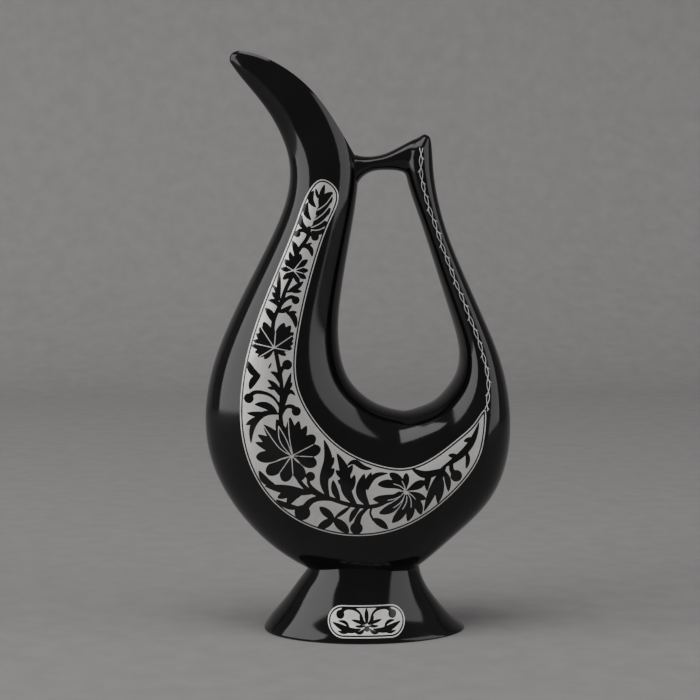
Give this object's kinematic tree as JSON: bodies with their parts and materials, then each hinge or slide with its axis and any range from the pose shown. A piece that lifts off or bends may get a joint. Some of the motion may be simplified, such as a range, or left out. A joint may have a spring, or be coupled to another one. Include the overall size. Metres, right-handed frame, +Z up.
{
  "type": "ewer",
  "caption": "Glossy black cast-metal ewer: hollow crescent body, horn-shaped spout, loop handle and flared oval foot, inlaid with silver leaves, flowers and border wires.",
  "frame": {"origin": "on the plane that the foot stands on, under the middle of the ewer's width and depth", "axes": "+Z up, +X towards the handle, the decorated front faces -Y"},
  "size_m": [0.1595, 0.078, 0.3015],
  "materials": {
    "blackened_alloy": "polished black patina",
    "silver": "burnished"
  },
  "bodies": {
    "root": {"body_front_half": "blackened_alloy", "body_back_half": "blackened_alloy", "handle": "blackened_alloy", "foot": "blackened_alloy", "front_panel_sheet": "silver", "front_panel_border": "silver", "front_petal_wires": "silver", "front_vine_wires": "silver", "front_foot_cartouche": "silver", "front_foot_border": "silver", "back_panel_sheet": "silver", "back_panel_border": "silver", "back_petal_wires": "silver", "back_vine_wires": "silver", "back_foot_cartouche": "silver", "back_foot_border": "silver"}
  },
  "joints": []
}
